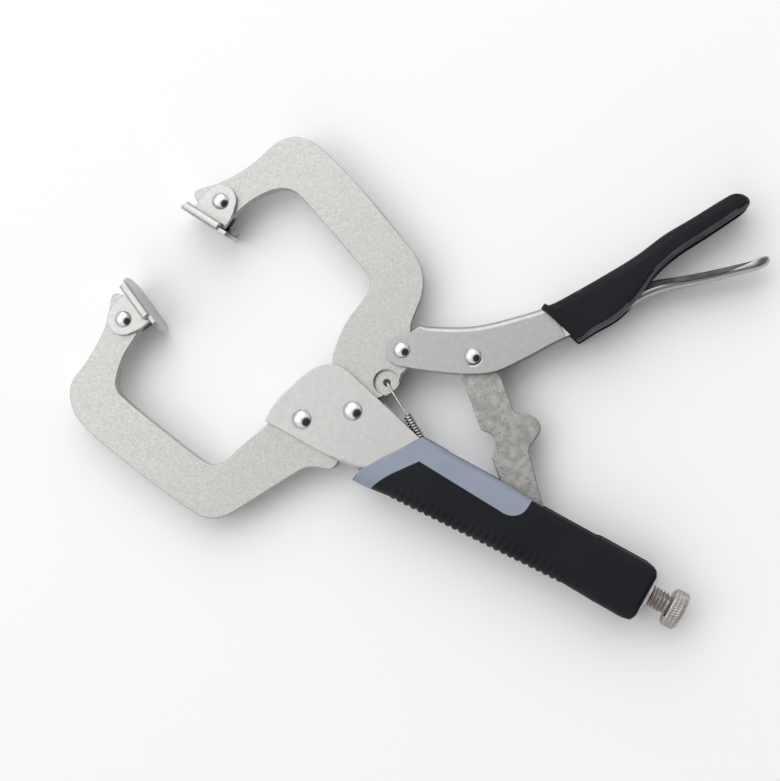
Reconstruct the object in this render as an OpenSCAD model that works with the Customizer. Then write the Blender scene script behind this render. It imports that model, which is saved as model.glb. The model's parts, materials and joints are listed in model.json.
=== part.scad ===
// Locking C-clamp pliers, about 280 mm long, lying flat.
// The mid-plane of the tool is level, X runs along the fixed handle toward the
// adjusting knob, and Y points to the side of the moving jaw and the lever.
// Outlines are drawn round the jaw pivot; place() then moves that drawing origin
// so that the model stands on z = 0 with its box centred on the origin.

/* [Overall] */
// Distance from the jaw pivot out to the upper pad rivet, along the handle
jaw_reach = 94.8; // [85:0.1:114]
// Distance from the jaw pivot to the end of the fixed grip
grip_end_x = 145; // [138:0.5:174]

/* [Jaws] */
// Thickness of both forged jaws
jaw_thick = 6; // [5:0.1:7.2]
// Radius of the moving jaw's boss on its pivot
jaw_boss_r = 10; // [9:0.1:10.5]
// Thickness of the coined ear that takes the spring
ear_thick = 2.4; // [1.8:0.1:3]
// Radius of the spring hole in the ear
ear_hole_r = 1.45; // [1.2:0.05:1.6]

/* [Sheet metal] */
// Sheet thickness of the fixed handle channel
frame_sheet = 2.5; // [2:0.1:3]
// Sheet thickness of the lever channel
lever_sheet = 2.2; // [1.8:0.1:2.6]
// Gap between the thread and the inside of the fixed handle
screw_gap = 0.85; // [0.5:0.05:1.2]
// Half of the inner width of the lever under the grip
lever_hollow = 5.6; // [5.3:0.05:6]
// Sheet thickness of the release lever
release_sheet = 1.6; // [1.2:0.1:1.8]

/* [Toggle link] */
// Thickness of the link plate
link_thick = 5; // [4:0.1:5.6]
// Distance between the link's pivot and the centre of its rounded foot
link_len = 79.2; // [76:0.1:80]
// Radius of the link's foot
foot_r = 5.8; // [5:0.1:6]

/* [Rivets and pins] */
// Shank radius of the jaw pivot and the fixed jaw rivet
big_shank_r = 3; // [2.5:0.1:3.4]
// Head radius of the jaw pivot and the fixed jaw rivet
big_head_r = 4.2; // [3.9:0.1:5]
// Shank radius of the handle pivot and the link pivot
mid_shank_r = 2.6; // [2:0.1:2.9]
// Head radius of the handle pivot and the link pivot
mid_head_r = 3.6; // [3.3:0.1:4.2]
// Shank radius of the pad rivets
pad_shank_r = 2.1; // [1.6:0.1:2.5]
// Head radius of the pad rivets
pad_head_r = 3.6; // [3.2:0.1:4]
// Radius of the pin that carries the release lever
pin_r = 1.75; // [1.4:0.05:2.1]

/* [Swivel pads] */
// Radius of a pad's clamping disc
pad_r = 14.5; // [13:0.1:15]
// Sheet thickness of a pad
pad_sheet = 1.9; // [1.5:0.1:2]
// Distance from the pad's rivet to its clamping face
pad_drop = 11.8; // [11.4:0.1:12]
// Distance from the mid-plane to the outside of a pad's hem
pad_hem_z = 11.7; // [11.4:0.1:12.5]
// Length of the straight hem
hem_len = 17.5; // [15:0.1:18]

/* [Adjusting screw] */
// Outer radius of the thread
screw_r = 4.75; // [4.4:0.05:5.7]
// Thread pitch
screw_pitch = 1.5; // [1.25:0.25:1.75]
// Bare length between the threaded end of the handle and the knob
screw_bare = 8.5; // [5:0.5:14]
// Radius of the knob
knob_r = 8.2; // [7.5:0.1:9]
// Length of the knob
knob_len = 6.9; // [6:0.1:9]
// Free gap between the link's foot and the tip of the screw
foot_gap = 4; // [3.9:0.1:6]

/* [Grips] */
// Thickness of the grip on the sides of the fixed handle
grip_wall = 2.9; // [2:0.1:3.8]
// Thickness of the grip on the sides of the lever
sleeve_wall = 1.6; // [1.2:0.1:2.6]
// Spacing of the ribs under the fixed grip
rib_pitch = 3.25; // [2.8:0.05:4]
// Depth of the ribs
rib_depth = 0.9; // [0.4:0.1:1.2]

/* [Spring] */
// Radius of the spring wire
wire_r = 0.5; // [0.35:0.05:0.55]
// Outer radius of the coil
coil_r = 1.8; // [1.5:0.1:2.1]

/* [Fits] */
// Radial clearance of a pin in a hole that turns on it
run_fit = 0.06; // [0.03:0.01:0.1]
// Side clearance between flat pieces that slide on each other
side_fit = 0.12; // [0.08:0.01:0.2]

/* [Hidden] */
$fn = 64;

// pivots, drawn round the jaw pivot
handle_pivot = [6, 32.8];
link_pivot = [34.1, 44.8];
fixed_rivet = [-17.6, -13.7];
release_pivot = [72.5, 92];
spring_hole = [6.9, 17.4];
spring_hook = [48, -6.3];
screw_y = -8.2;
nominal_reach = 94.8;
reach_from = -36;
// the jaws' outer arms stretch with the reach, the head does not
function stretch_x(x) = x > reach_from ? x
  : reach_from + (x - reach_from) * (jaw_reach + reach_from) / (nominal_reach + reach_from);
upper_rivet = [stretch_x(-94.8), 52.3];
lower_rivet = [stretch_x(-108.3), -13];
// outward directions of the clamping faces at rest
upper_face = -93.8;
lower_face = 65.2;

// stack of thicknesses from the mid-plane out
jaw_half = jaw_thick / 2;
cheek_in = jaw_half + side_fit;
cheek_out = cheek_in + frame_sheet;
lever_in = jaw_half + side_fit;
lever_out = lever_in + lever_sheet;
pad_in = jaw_half + side_fit;
pad_out = pad_in + pad_sheet;
ear_head_z = pad_out + side_fit;

// half widths of the handles and their grips
frame_hollow = screw_r + screw_gap;
frame_half = frame_hollow + frame_sheet;
grip_half = frame_half + grip_wall;
lever_half = lever_hollow + lever_sheet;
sleeve_half = lever_half + sleeve_wall;

// handle ends
boss_end_x = grip_end_x + 1.3;
knob_x = boss_end_x + screw_bare;
floor_y = -16.7;
channel_bottom = floor_y - frame_sheet;
channel_top = 2;
head_bottom = -21.9;
web_x = 5.6;

// toggle link, measured along its own axis
foot = [
  sqrt(link_len * link_len - pow(link_pivot[1] - screw_y, 2)) + link_pivot[0],
  screw_y
];
link_angle = atan2(foot[1] - link_pivot[1], foot[0] - link_pivot[0]);
tip_x = foot[0] + foot_r + foot_gap;

// lever axis
lever_angle = 51.5;

// smooth closed curve through points [x, y, corner]: cubic Hermite pieces with
// tangents from the neighbours, and a straight tangent at a corner (third value 1)
function flag(p) = len(p) > 2 ? p[2] : 0;
function xy(p) = [p[0], p[1]];
function tangent(a, b, c) = flag(b) == 1 ? [0, 0] : (xy(c) - xy(a)) / 2;
function hermite(a, b, ta, tb, t) =
  (2 * t * t * t - 3 * t * t + 1) * a + (t * t * t - 2 * t * t + t) * ta
  + (3 * t * t - 2 * t * t * t) * b + (t * t * t - t * t) * tb;
function curve(p, k = 4) = [
  for (i = [0 : len(p) - 1])
    let (
      n = len(p),
      a = p[(i + n - 1) % n], b = p[i], c = p[(i + 1) % n], d = p[(i + 2) % n],
      tb = flag(b) == 1 ? (flag(c) == 1 ? [0, 0] : xy(c) - xy(b)) : tangent(a, b, c),
      tc = flag(c) == 1 ? (flag(b) == 1 ? [0, 0] : xy(c) - xy(b)) : tangent(b, c, d),
      m = flag(b) == 1 && flag(c) == 1 ? 1 : k
    )
    for (j = [0 : m - 1]) hermite(xy(b), xy(c), tb, tc, j / m)
];
function reach_all(p) = [for (q = p) [stretch_x(q[0]), q[1], flag(q)]];
function low(p, axis) = min([for (q = p) q[axis]]);
function high(p, axis) = max([for (q = p) q[axis]]);
function arc(c, r, a, b, n) = [
  for (i = [0 : n]) let (t = a + (b - a) * i / n) [c[0] + r * cos(t), c[1] + r * sin(t)]
];

moving_jaw_line = curve(reach_all([
  [-8, -4, 1], [-17.6, 13.2], [-20, 21], [-20.9, 31.4], [-19.8, 40], [-18.8, 47],
  [-20.2, 52.4], [-24.5, 55.3], [-34, 58.8], [-45, 63], [-57, 67.7], [-64, 70.3],
  [-68.5, 71.1], [-72.3, 70.4], [-76.3, 67.8], [-80, 63.6], [-83, 58.9], [-85.2, 54],
  [-87.5, 48.6], [-92, 45.6], [-98, 45.4], [-103, 47], [-106.6, 48.9], [-107.3, 51.2],
  [-105.6, 53.4], [-100.4, 58.3], [-94.8, 65.8], [-90.7, 73], [-87.6, 81], [-85.2, 87],
  [-80.5, 91.7], [-75, 93.5], [-69, 93.5], [-60.4, 91.3], [-49, 87.8], [-37.6, 83.8],
  [-25, 78.7], [-16.4, 75], [-8.4, 71.4], [-3.2, 67.6], [0.6, 62.5], [2.7, 57],
  [3.7, 50.5], [4.3, 45], [6, 41, 1], [10.8, 39.6], [13.7, 36], [14, 31.6],
  [12.4, 27.6], [10.9, 23.3, 1], [12.1, 20.2], [11.4, 16], [9.4, 12.4], [6.6, 9.4, 1],
  [8, -4, 1]
]));
fixed_jaw_line = curve(reach_all([
  [-118.2, -7], [-117.2, -4.8], [-113.8, -4.4], [-109, -5], [-104.2, -6.6],
  [-101, -10], [-99.9, -14.5], [-100.4, -21], [-100.6, -28], [-99.2, -35.6],
  [-97.6, -39.8], [-95, -42.3], [-91.5, -43.3], [-84.2, -44.9], [-69.2, -47.3],
  [-56.4, -49.3], [-47.1, -50.4], [-43.2, -50], [-40.4, -48], [-38.3, -44.6],
  [-35.5, -36.5], [-30.8, -24.6], [-27.5, -14], [-24.5, -8], [-18.5, -5.2],
  [-13.2, -6.6, 1], [-9.5, -10.9], [-4.6, -13.7], [0.8, -15.4], [3.6, -18.5],
  [4.9, -22.6], [4.1, -25.9], [1.8, -27.4], [-3.1, -29.2], [-6.6, -31.8],
  [-9.6, -36.5], [-15.5, -46.7], [-24.1, -62], [-27.4, -66.6], [-31.4, -70],
  [-36, -71.6], [-41, -71.6], [-60.5, -69.8], [-82, -66.8], [-97.3, -63.9],
  [-105.3, -61.2], [-109.8, -58.5], [-113.6, -54.2], [-115.5, -50.2], [-115.8, -45.8],
  [-114.7, -39.4], [-114, -30.6], [-114.4, -20.4], [-116.6, -12]
]));
frame_line = concat(
  curve([
    [-31.2, -21.9, 1], [-31.4, -16], [-30.2, -9.5], [-27.8, -2], [-25, 5],
    [-22.4, 9.3], [-18.8, 12.4], [-14, 13.9], [-8.8, 13.7], [-2.4, 12], [6.5, 9.8],
    [19.9, 6.4], [31, 3.4, 1], [34, channel_top, 1], [boss_end_x - 16, channel_top, 1],
    [boss_end_x - 16, channel_bottom, 1], [31, channel_bottom, 1], [15, -20.8, 1],
    [9, head_bottom, 1]
  ])
);
lever_line = curve([
  [-0.9, 32.2], [0.6, 37.2], [5.5, 40.4, 1], [8.1, 45.4, 1], [22.2, 52.4],
  [31.4, 58.4], [41.3, 67.2], [51.6, 77.6], [59.6, 88], [67.8, 100.6], [75.6, 113.8],
  [82, 127], [88.4, 137.8], [96.2, 151, 1], [102.6, 150, 1], [97, 139], [91, 129],
  [84.4, 116], [80.4, 104], [75.8, 91.4], [71, 80], [66.3, 72.4], [61.3, 65.4],
  [53.5, 53.6], [45.4, 43.2], [34.7, 36.4], [22.6, 31.2], [11.3, 27.1], [6.2, 25.9],
  [1.4, 27.5]
]);
sleeve_line = curve([
  [49.9, 76.3, 1], [50.2, 78.9, 1], [52.6, 79.1, 1], [57.9, 86.6], [66.3, 99.9],
  [74.3, 113.6], [80.6, 127], [87.4, 138.4], [94.7, 151], [97.5, 155.2],
  [100.6, 157], [104.1, 156.8], [105.6, 155], [105.2, 152], [102.6, 146.8],
  [97.1, 136.4], [91.3, 126], [87.7, 118], [85.2, 109.5], [84, 100], [82.2, 92],
  [79.6, 85.6, 1], [74.8, 78], [70.8, 70.7, 1], [66.2, 72.6, 1], [59.8, 75.2]
]);
release_line = curve([
  [124.6, 139.2], [122.4, 139.8], [117.3, 135.2], [106.8, 126], [96.1, 117.2],
  [85.2, 109], [77, 101], [72, 96.6], [68.9, 94.6], [67.9, 91.6], [68.6, 88],
  [68.6, 83], [66.9, 77.4], [66.6, 75], [68.2, 73.4], [70.4, 74.6], [73, 79.6],
  [76.6, 84.4], [80.4, 89.2], [83.6, 96], [87.3, 101.8], [93, 107.8], [104, 117],
  [114.2, 126.2], [121.9, 133.2], [124.4, 136.6]
]);
// the link's outline, along its own axis from the pivot to the foot
link_line = concat(
  arc([0, 0], 7.7, 90, 270, 16),
  curve([
    [6, -7.5, 1], [30.4, -7.3, 1], [31.6, -6.2], [33.4, -4.2], [36.4, -3.1],
    [39.6, -3.8], [41.8, -5.8], [43.2, -6.9, 1], [54, -6.9, 1], [link_len, -foot_r, 1]
  ]),
  arc([link_len, 0], foot_r, -88, 88, 16),
  curve([
    [link_len, foot_r, 1], [45.8, 8.7, 1], [43.8, 10.2], [41.6, 13.6],
    [38.6, 16.5], [34.6, 16.6], [31.2, 13.8], [28.8, 9.2], [26.4, 8.4, 1], [6, 8, 1]
  ])
);

// fixed grip: ribs run under it between two x values
rib_from = 31;
rib_count = floor((112 - rib_from) / rib_pitch);
function rib_base(x) = -24.5 + (x - 30) * 0.042;
ribs = [
  for (i = [rib_count * 6 : -1 : 0])
    let (x = rib_from + i * rib_pitch / 6, s = abs(sin(180 * i / 6)))
    [x, rib_base(x) + rib_depth * (0.55 - s)]
];
grip_line = concat(
  curve([
    [13.9, -26.6, 1], [15.3, -20.6, 1], [22.3, -9.8], [30.4, 1, 1], [32, 5], [35, 7],
    [39.8, 5.2], [44, 4.1, 1], [70, 4.1, 1], [84, 3.2, 1], [115.5, 3.1, 1],
    [117.5, 3.7, 1], [grip_end_x - 5, 3.6], [grip_end_x - 1.2, 2.6], [grip_end_x, 0],
    [grip_end_x - 0.7, -4.5], [grip_end_x - 0.7, -12], [grip_end_x, -17.5],
    [grip_end_x - 1, -20.7], [grip_end_x - 4, -21.7, 1], [127, -21.6, 1],
    [113, -21.1, 1]
  ]),
  ribs
);
inlay_line = curve([
  [10, -30, 1], [10, 10, 1], [84.6, 10, 1], [85.1, 2, 1], [84.3, -3], [81.4, -6],
  [77, -7, 1], [36, -5, 1], [29.4, -13.6, 1], [24.8, -21], [22.6, -26.4, 1],
  [21.6, -30, 1]
]);

// box of the whole model, and the shift that centres it
box_lo = [low(fixed_jaw_line, 0), low(fixed_jaw_line, 1)];
box_hi = [knob_x + knob_len, high(sleeve_line, 1)];
shift = [-(box_lo[0] + box_hi[0]) / 2, -(box_lo[1] + box_hi[1]) / 2, pad_hem_z];

module place() translate(shift) children();
module slab(line, lo, hi) translate([0, 0, lo]) linear_extrude(hi - lo) polygon(line);
module plate(line, half) slab(line, -half, half);
module bar(at, r, half) translate([at[0], at[1], -half]) cylinder(r = r, h = 2 * half);
module cap(r, h) {
  big = (r * r + h * h) / (2 * h);
  intersection() {
    translate([0, 0, h - big]) sphere(r = big, $fn = 96);
    cylinder(r = r + 1, h = h + 1);
  }
}
// rivet: straight shank with a domed head on each side
module rivet(at, shank, head, z, h) {
  bar(at, shank, z);
  for (s = [0, 1]) mirror([0, 0, s]) translate([at[0], at[1], z]) {
    translate([0, 0, 0.5]) cap(head, h - 0.5);
    cylinder(r = head, h = 0.5);
  }
}
// half widths along a handle: narrow at the head, wider under the grip
module width_prism(from, to, narrow, wide, start, end) {
  rotate([90, 0, 0]) translate([0, 0, -250]) linear_extrude(500) polygon([
    [start, -narrow], [from, -narrow], [to, -wide], [end, -wide],
    [end, wide], [to, wide], [from, narrow], [start, narrow]
  ]);
}
module along_lever() translate(handle_pivot) rotate(lever_angle) children();

// ---- fixed side ----
module frame_body(narrow, wide) {
  intersection() {
    plate(frame_line, 20);
    width_prism(24, 36, narrow, wide, -60, 200);
  }
}
module channel_corner(r) {
  // takes the outer corner off the folded bottom edge of the head
  for (s = [0, 1]) mirror([0, 0, s])
    translate([web_x, head_bottom, cheek_out]) rotate([0, 90, 0]) rotate([0, 0, 90])
      difference() {
        translate([-0.5, -0.5, -1]) cube([r + 0.5, r + 0.5, 12]);
        translate([r, r, -2]) cylinder(r = r, h = 14);
      }
}
module frame_channel() color([0.80, 0.80, 0.78]) place() {
  difference() {
    union() {
      difference() {
        frame_body(cheek_out, frame_half);
        // hollow between the cheeks, open on the lever side
        intersection() {
          union() {
            translate([web_x, head_bottom + frame_sheet, -20]) cube([17, 60, 40]);
            translate([22, floor_y, -20]) cube([140, 60, 40]);
            translate([-60, -60, -20]) cube([60 + web_x + 0.01, 120, 40]);
          }
          width_prism(24, 36, cheek_in, frame_hollow, -70, 210);
        }
        channel_corner(3.6);
      }
      // round end, swaged closed around the thread
      translate([boss_end_x - 22, screw_y, 0]) rotate([0, 90, 0])
        cylinder(r = frame_half, h = 20);
      translate([boss_end_x - 3, screw_y, 0]) rotate([0, 90, 0])
        cylinder(r = frame_half - 1, h = 3);
      // tab lanced up from the floor for the spring's far hook
      translate([spring_hook[0], channel_bottom + 1, -2.6])
        cube([frame_sheet, spring_hook[1] + 3 - channel_bottom - 1, 5.2]);
    }
    translate([boss_end_x - 40, screw_y, 0]) rotate([0, 90, 0])
      cylinder(r = screw_r + run_fit, h = 60);
    bar([0, 0], big_shank_r, 30);
    bar(fixed_rivet, big_shank_r, 30);
    // eye in the tab
    translate([spring_hook[0] - 2, spring_hook[1], 0]) rotate([0, 90, 0])
      cylinder(r = 1.4, h = 8);
  }
}
module fixed_jaw() color([0.80, 0.80, 0.78]) place() {
  difference() {
    plate(fixed_jaw_line, jaw_half);
    bar(fixed_rivet, big_shank_r, 30);
    bar(lower_rivet, pad_shank_r + run_fit, 30);
    bar([0, 0], jaw_boss_r + 0.6, 30);
  }
}
module fixed_jaw_rivet() color([0.85, 0.85, 0.86]) place()
  rivet(fixed_rivet, big_shank_r, big_head_r, cheek_out, 2.4);
module jaw_pivot_rivet() color([0.85, 0.85, 0.86]) place()
  rivet([0, 0], big_shank_r, big_head_r, cheek_out, 2.4);

// ---- moving jaw ----
module moving_jaw() color([0.80, 0.80, 0.78]) place() {
  difference() {
    union() {
      plate(moving_jaw_line, jaw_half);
      bar([0, 0], jaw_boss_r, jaw_half);
    }
    bar([0, 0], big_shank_r + run_fit, 30);
    bar(handle_pivot, mid_shank_r + run_fit, 30);
    bar(upper_rivet, pad_shank_r + run_fit, 30);
    bar(spring_hole, ear_hole_r, 30);
    // coined ear, thinned from both faces
    for (s = [0, 1]) mirror([0, 0, s])
      translate([spring_hole[0], spring_hole[1], ear_thick / 2]) cylinder(r = 5.4, h = 20);
  }
}

// ---- lever ----
module lever_body(narrow, wide) {
  intersection() {
    plate(lever_line, 20);
    along_lever() width_prism(66, 78, narrow, wide, -30, 200);
  }
}
module lever_handle() color([0.78, 0.78, 0.77]) place() {
  difference() {
    lever_body(lever_out, lever_half);
    // hollow, open on the side of the fixed handle
    intersection() {
      translate([cos(lever_angle - 90) * lever_sheet, sin(lever_angle - 90) * lever_sheet, 0])
        for (d = [0, 4, 8]) translate([cos(lever_angle - 90) * d, sin(lever_angle - 90) * d, 0])
          plate(lever_line, 20);
      along_lever() width_prism(66, 78, lever_in, lever_hollow, -40, 210);
    }
    along_lever() translate([131, -30, -lever_hollow]) cube([40, 60, 2 * lever_hollow]);
    // room for the jaw to swing at the front
    bar(handle_pivot, 12.8, lever_in);
    bar(handle_pivot, mid_shank_r, 30);
    bar(link_pivot, mid_shank_r, 30);
    bar(release_pivot, pin_r, 30);
  }
}
module handle_pivot_rivet() color([0.85, 0.85, 0.86]) place()
  rivet(handle_pivot, mid_shank_r, mid_head_r, lever_out, 2.2);
module link_pivot_rivet() color([0.85, 0.85, 0.86]) place()
  rivet(link_pivot, mid_shank_r, mid_head_r, lever_out, 2.2);
module toggle_link() color([0.62, 0.62, 0.60]) place() {
  difference() {
    translate(link_pivot) rotate(link_angle) plate(link_line, link_thick / 2);
    bar(link_pivot, mid_shank_r + run_fit, 30);
  }
}
module release_lever() color([0.72, 0.71, 0.72]) place() {
  difference() {
    union() {
      // finger tab and hub, a trough with its web on the lower side
      difference() {
        intersection() {
          plate(release_line, lever_hollow - 0.5);
          translate(release_pivot) rotate(lever_angle) translate([-5.2, -40, -20])
            cube([100, 80, 40]);
        }
        translate([-0.9 * release_sheet, 0.9 * release_sheet, 0]) slab(
          [for (p = release_line) [p[0], p[1]]],
          -(lever_hollow - 0.5 - release_sheet), lever_hollow - 0.5 - release_sheet
        );
      }
      // narrow nose that reaches the link
      intersection() {
        plate(release_line, link_thick / 2 + 0.3);
        translate(release_pivot) rotate(lever_angle) translate([-60, -40, -20])
          cube([62, 80, 40]);
      }
    }
    bar(release_pivot, pin_r + run_fit, 30);
  }
}
module release_lever_pin() color([0.75, 0.75, 0.76]) place()
  bar(release_pivot, pin_r, lever_half);

// ---- screw ----
thread_from = tip_x + 1.5;
thread_turns = floor((knob_x - 1.5 - thread_from) / screw_pitch);
thread_line = concat(
  [[0, 0], [screw_r - 1.2, 0], [screw_r - 1, 0.4], [screw_r - 1, 1.5]],
  [
    for (i = [0 : thread_turns - 1]) each [
      [screw_r - 0.9, 1.5 + (i + 0.06) * screw_pitch],
      [screw_r, 1.5 + (i + 0.44) * screw_pitch],
      [screw_r, 1.5 + (i + 0.56) * screw_pitch],
      [screw_r - 0.9, 1.5 + (i + 0.94) * screw_pitch]
    ]
  ],
  [
    [screw_r - 0.6, 1.5 + thread_turns * screw_pitch], [screw_r - 0.6, knob_x - tip_x],
    [3, knob_x - tip_x], [3, knob_x - tip_x + knob_len - 1.5],
    [0, knob_x - tip_x + knob_len - 1.5]
  ]
);
module adjusting_screw() color([0.62, 0.58, 0.55]) place()
  translate([tip_x, screw_y, 0]) rotate([0, 90, 0]) rotate_extrude() polygon(thread_line);
module screw_knob() color([0.62, 0.58, 0.56]) place()
  translate([knob_x + 0.05, screw_y, 0]) rotate([0, 90, 0]) rotate_extrude() polygon([
    [3 + run_fit, 0], [knob_r - 1.3, 0], [knob_r, 1.1], [knob_r, knob_len - 1.2],
    [knob_r - 1.4, knob_len - 0.05], [0, knob_len - 0.05],
    [0, knob_len - 1.4], [3 + run_fit, knob_len - 1.4]
  ]);

// ---- spring ----
spring_dir = atan2(spring_hook[1] - spring_hole[1], spring_hook[0] - spring_hole[0]);
spring_len = norm(spring_hook - spring_hole);
coil_from = 16.2;
coil_turns = 20;
coil_line = concat(
  [[0, 0]],
  [
    for (i = [0 : coil_turns - 1]) each [
      for (a = [-60 : 40 : 60])
        [coil_r - wire_r + wire_r * cos(a), (i + 0.5) * 2.1 * wire_r + wire_r * sin(a)]
    ]
  ],
  [[0, coil_turns * 2.1 * wire_r]]
);
coil_len = coil_turns * 2.1 * wire_r;
lift = ear_thick / 2 + wire_r + 0.12;
module wire(a, b) {
  d = b - a;
  translate(a) rotate([0, acos(d[2] / norm(d)), atan2(d[1], d[0])])
    cylinder(r = wire_r, h = norm(d), $fn = 24);
}
module ball(a) translate(a) sphere(r = wire_r + 0.04, $fn = 24);
module return_spring() color([0.55, 0.55, 0.56]) place()
  translate(spring_hole) rotate(spring_dir) {
    translate([coil_from, 0, 0]) rotate([0, 90, 0]) rotate_extrude($fn = 32)
      polygon(coil_line);
    wire([coil_from + 0.4, 0, 0.4], [4.6, 0, lift]);
    ball([4.6, 0, lift]);
    wire([4.6, 0, lift], [0, 0, lift]);
    ball([0, 0, lift]);
    wire([0, 0, lift], [0, 0, -lift]);
    ball([0, 0, -lift]);
    wire([coil_from + coil_len - 0.3, 0, 0], [spring_len - 0.4, 0, 0]);
    ball([spring_len - 0.4, 0, 0]);
    wire([spring_len - 0.4, 0, 0], [spring_len + 3.2, 1.75, 0]);
    ball([spring_len + 3.2, 1.75, 0]);
  }

// ---- swivel pads ----
// one folded sheet: disc, hem on each side, then an ear up each side of the jaw;
// drawn with its rivet at the origin and the clamping face toward -Y
fold_gap = 0.25;
module pad() {
  back = pad_sheet - pad_drop;
  mid = back + fold_gap / 2;
  bend = pad_sheet + fold_gap / 2;
  fold_z = pad_hem_z - bend;
  ear_top = 7.2;
  difference() {
    union() {
      intersection() {
        translate([0, -pad_drop, 0]) rotate([-90, 0, 0])
          cylinder(r = pad_r, h = pad_sheet, $fn = 128);
        translate([-20, -20, -fold_z]) cube([40, 30, 2 * fold_z]);
      }
      for (s = [0, 1]) mirror([0, 0, s]) {
        difference() {
          translate([-hem_len / 2, mid, fold_z]) rotate([0, 90, 0])
            cylinder(r = bend, h = hem_len);
          translate([-20, mid, fold_z]) rotate([0, 90, 0])
            cylinder(r = fold_gap / 2, h = 40);
          translate([-20, mid - 5, fold_z - 10]) cube([40, 10, 10]);
        }
        translate([-hem_len / 2, back + fold_gap, pad_in])
          cube([hem_len, pad_sheet, fold_z - pad_in]);
        // ear
        translate([0, 0, pad_in]) linear_extrude(pad_sheet) polygon(concat(
          [[8.2, back + fold_gap + 0.5], [8.4, -4.5], [7.9, -1.5]],
          arc([0, 0], ear_top, 8, 172, 24),
          [[-7.9, -1.5], [-8.4, -4.5], [-8.2, back + fold_gap + 0.5]]
        ));
      }
    }
    translate([0, 0, -30]) cylinder(r = pad_shank_r + run_fit, h = 60);
  }
}
module upper_swivel_pad() color([0.80, 0.80, 0.79]) place()
  translate(upper_rivet) rotate(upper_face + 90) pad();
module lower_swivel_pad() color([0.80, 0.80, 0.79]) place()
  translate(lower_rivet) rotate(lower_face + 90) pad();
module upper_pad_rivet() color([0.87, 0.87, 0.88]) place()
  rivet(upper_rivet, pad_shank_r, pad_head_r, ear_head_z, 2);
module lower_pad_rivet() color([0.87, 0.87, 0.88]) place()
  rivet(lower_rivet, pad_shank_r, pad_head_r, ear_head_z, 2);

// ---- grips ----
module rounded_top(y, r) {
  // everything under y, with the two long top edges rounded
  rotate([90, 0, 90]) translate([0, 0, -50]) linear_extrude(300) polygon(concat(
    [[-60, -grip_half], [-60, grip_half]],
    [for (i = [0 : 8]) [y - r + r * sin(i * 11.25), grip_half - r + r * cos(i * 11.25)]],
    [for (i = [8 : -1 : 0]) [y - r + r * sin(i * 11.25), -grip_half + r - r * cos(i * 11.25)]]
  ));
}
module grip_solid() {
  intersection() {
    plate(grip_line, grip_half);
    rounded_top(4.4, 4.5);
    translate([30, rib_base(30), 0]) rotate(2.4) mirror([0, 1, 0]) translate([-30, 0, 0])
      rounded_top(0.6, 6.5);
  }
}
module grip_space() {
  // the channel's outside, its open slot and the round end
  frame_body(cheek_out, frame_half);
  intersection() {
    translate([-60, -10, -20]) cube([190 + boss_end_x - 146.3, 60, 40]);
    width_prism(24, 36, cheek_in + 0.3, frame_hollow + 0.3, -70, 210);
  }
  translate([boss_end_x - 22, screw_y, 0]) rotate([0, 90, 0])
    cylinder(r = frame_half, h = 40);
}
module fixed_grip() color([0.15, 0.15, 0.18]) place() {
  difference() {
    grip_solid();
    grip_space();
    plate(inlay_line, 30);
  }
}
module fixed_grip_inlay() color([0.58, 0.63, 0.72]) place() {
  difference() {
    intersection() {
      grip_solid();
      plate(inlay_line, 30);
    }
    grip_space();
  }
}
module lever_grip() color([0.15, 0.15, 0.18]) place() {
  difference() {
    intersection() {
      plate(sleeve_line, 20);
      along_lever() width_prism(66, 80, lever_out + 1.7, sleeve_half, -30, 200);
    }
    lever_body(lever_out, lever_half);
    // slot under the lever, and the hollow that the release lever swings in
    intersection() {
      union() {
        for (d = [0, 4, 8]) translate([
          cos(lever_angle - 90) * (lever_sheet + d), sin(lever_angle - 90) * (lever_sheet + d), 0
        ]) plate(lever_line, 20);
        translate([60, 60, -20]) cube([12, 30, 40]);
      }
      along_lever() width_prism(66, 78, lever_in, lever_hollow, -40, 152);
    }
  }
}

frame_channel();
fixed_jaw();
fixed_jaw_rivet();
jaw_pivot_rivet();
moving_jaw();
handle_pivot_rivet();
lever_handle();
link_pivot_rivet();
toggle_link();
release_lever();
release_lever_pin();
adjusting_screw();
screw_knob();
return_spring();
upper_swivel_pad();
upper_pad_rivet();
lower_swivel_pad();
lower_pad_rivet();
fixed_grip();
fixed_grip_inlay();
lever_grip();
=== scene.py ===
import json
import math

import bmesh
import bpy
import numpy as np
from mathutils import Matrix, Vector, geometry


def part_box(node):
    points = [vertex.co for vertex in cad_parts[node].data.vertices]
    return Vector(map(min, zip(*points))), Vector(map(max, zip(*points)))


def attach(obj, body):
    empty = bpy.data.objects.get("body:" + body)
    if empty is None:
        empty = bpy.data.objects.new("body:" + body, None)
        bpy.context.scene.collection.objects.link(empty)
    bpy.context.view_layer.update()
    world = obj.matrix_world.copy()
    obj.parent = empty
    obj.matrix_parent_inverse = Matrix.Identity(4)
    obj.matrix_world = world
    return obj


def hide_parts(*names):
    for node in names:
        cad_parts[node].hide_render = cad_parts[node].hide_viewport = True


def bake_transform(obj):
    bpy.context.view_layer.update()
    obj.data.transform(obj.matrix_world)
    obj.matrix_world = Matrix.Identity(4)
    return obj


# Locking C-clamp pliers. Outlines are worked out in millimetres round the jaw pivot, with the
# tool's mid-plane at height 0, and placed in metres where the frame has that pivot.
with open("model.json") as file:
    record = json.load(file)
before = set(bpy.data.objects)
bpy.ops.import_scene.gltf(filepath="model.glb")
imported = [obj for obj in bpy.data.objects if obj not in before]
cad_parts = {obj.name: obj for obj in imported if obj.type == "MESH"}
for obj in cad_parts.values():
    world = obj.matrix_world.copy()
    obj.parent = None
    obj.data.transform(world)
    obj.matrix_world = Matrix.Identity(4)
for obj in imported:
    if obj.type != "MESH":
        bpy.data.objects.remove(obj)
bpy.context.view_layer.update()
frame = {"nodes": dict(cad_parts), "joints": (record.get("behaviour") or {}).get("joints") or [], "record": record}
mm = 0.001
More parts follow.
